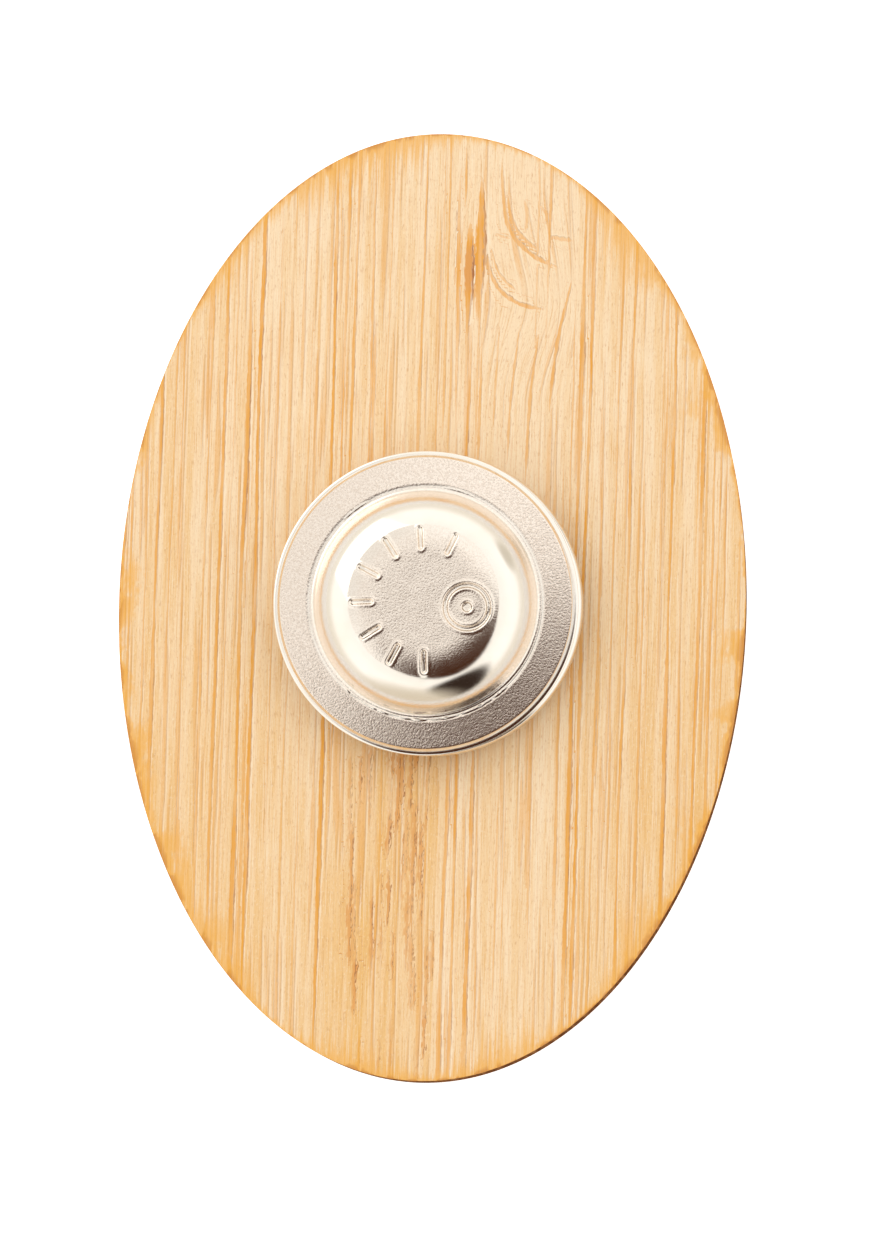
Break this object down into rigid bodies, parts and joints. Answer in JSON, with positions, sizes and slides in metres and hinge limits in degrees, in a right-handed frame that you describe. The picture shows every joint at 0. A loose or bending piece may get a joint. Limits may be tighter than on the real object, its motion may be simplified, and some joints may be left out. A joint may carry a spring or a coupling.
{
  "type": "button badge",
  "caption": "Oval bamboo badge with a plain front, worn with a round nickel-plated magnetic clasp that snaps on to a steel keeper on its back.",
  "frame": {"origin": "middle of the board's front face, which lies on the table", "axes": "+Z out of the badge's back, towards the wearer; +Y along the long axis and the bamboo's grain; +X completes a right-handed frame"},
  "size_m": [0.035, 0.053, 0.0075],
  "materials": {
    "bamboo": "sanded, bare",
    "foam": "closed-cell foam tape",
    "keeper_steel": "bright nickel plate on steel",
    "magnet_nickel": "nickel plate on a neodymium magnet",
    "glue": "cured clear glue",
    "cap_nickel": "stamped steel, nickel plated, matt flats and bright walls"
  },
  "bodies": {
    "badge": {"bamboo_strip_1": "bamboo", "bamboo_strip_2": "bamboo", "bamboo_strip_3": "bamboo", "bamboo_strip_4": "bamboo", "bamboo_strip_5": "bamboo", "bamboo_strip_6": "bamboo", "foam_tape": "foam", "keeper_disc": "keeper_steel"},
    "magnet": {"disc_magnet": "magnet_nickel", "magnet_glue": "glue"},
    "cap": {"magnet_cap": "cap_nickel"}
  },
  "joints": [
    {"name": "clasp_lift", "type": "slide", "parent": "badge", "child": "magnet", "axis": [0, 0, 1], "range_m": [0, 0.015]},
    {"name": "clasp_turn", "type": "hinge", "parent": "magnet", "child": "cap", "pos_m": [-0.00024, 0, 0.0049], "axis": [0, 0, 1], "continuous": true}
  ]
}
